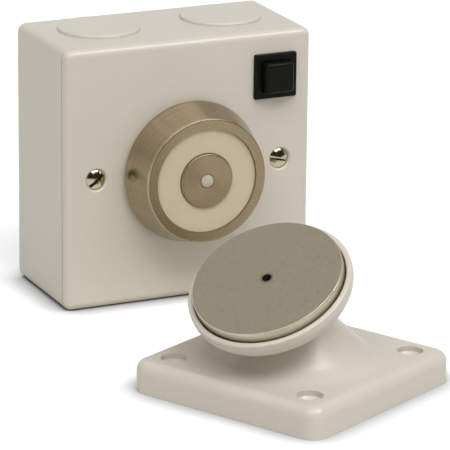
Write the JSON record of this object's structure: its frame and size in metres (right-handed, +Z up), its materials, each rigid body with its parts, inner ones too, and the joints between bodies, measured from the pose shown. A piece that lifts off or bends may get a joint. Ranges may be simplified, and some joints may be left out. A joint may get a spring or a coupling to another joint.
{
  "type": "electromagnetic door holder",
  "caption": "Door holder set: square wall box with a round holding magnet, ejector pin and release button, and a door keeper with a steel disc on a ball swivel.",
  "frame": {"origin": "middle of the wall box's wall face, on the magnet's axis", "axes": "+Z up, +Y into the wall (the magnet faces -Y), +X to the right as seen from the magnet side"},
  "size_m": [0.0871, 0.1635, 0.081],
  "materials": {
    "cream_plastic": "warm off-white moulded plastic, satin",
    "magnet_steel": "turned steel with dull nickel plating",
    "ground_steel": "ground steel with fine scratches",
    "bright_nickel": "polished nickel plating",
    "zinc_steel": "bright zinc plating",
    "spring_steel": "drawn spring wire and strip",
    "ivory_resin": "cast ivory resin, matte",
    "white_nylon": "natural white nylon",
    "black_plastic": "black moulded plastic, satin",
    "grey_plastic": "light grey moulded plastic",
    "brass": "bright brass",
    "enamelled_copper": "enamelled copper wire, wound",
    "red_insulation": "red wire insulation",
    "black_insulation": "black wire insulation"
  },
  "bodies": {
    "fixed_units": {"back_box": "cream_plastic", "entry_plug_left": "cream_plastic", "entry_plug_right": "cream_plastic", "front_plate": "cream_plastic", "keeper_base": "cream_plastic", "pole_shell": "magnet_steel", "core_pole": "magnet_steel", "cover_screws": "bright_nickel", "magnet_washer": "zinc_steel", "magnet_nut": "zinc_steel", "retainer_plate": "zinc_steel", "retainer_screws": "zinc_steel", "terminal_screws": "zinc_steel", "spring_plug": "zinc_steel", "ejector_spring": "spring_steel", "button_spring": "spring_steel", "seat_spring": "spring_steel", "potting_ring": "ivory_resin", "coil_bobbin": "white_nylon", "switch_housing": "black_plastic", "switch_base": "black_plastic", "terminal_block": "grey_plastic", "thread_inserts": "brass", "switch_terminals": "brass", "terminal_clamps": "brass", "coil_winding": "enamelled_copper", "coil_lead_feed": "red_insulation", "switch_lead_supply": "red_insulation", "switch_lead_feed": "red_insulation", "coil_lead_return": "black_insulation"},
    "button": {"button_cap": "black_plastic", "contact_bridge": "brass"},
    "ejector": {"ejector_pin": "white_nylon"},
    "swivel_seat": {"ball_seat": "white_nylon"},
    "keeper_head": {"ball_stud": "zinc_steel", "keeper_dish": "cream_plastic", "lock_washer": "zinc_steel", "keeper_disc": "ground_steel"}
  },
  "joints": [
    {"name": "button_press", "type": "slide", "parent": "fixed_units", "child": "button", "axis": [0, 1, 0], "range_m": [0, 0.0022], "stiffness_N_per_m": 800, "deforming": ["button_spring"]},
    {"name": "ejector_slide", "type": "slide", "parent": "fixed_units", "child": "ejector", "axis": [0, 1, 0], "range_m": [0, 0.002], "stiffness_N_per_m": 1500, "deforming": ["ejector_spring"]},
    {"name": "keeper_turn", "type": "hinge", "parent": "fixed_units", "child": "swivel_seat", "pos_m": [-0.00495, -0.1213, -0.028], "axis": [0, 0, 1], "continuous": true},
    {"name": "keeper_tilt", "type": "hinge", "parent": "swivel_seat", "child": "keeper_head", "pos_m": [-0.00495, -0.1213, -0.028], "axis": [0.512, -0.859, 0], "range_deg": [-64.26, 3.74]}
  ]
}
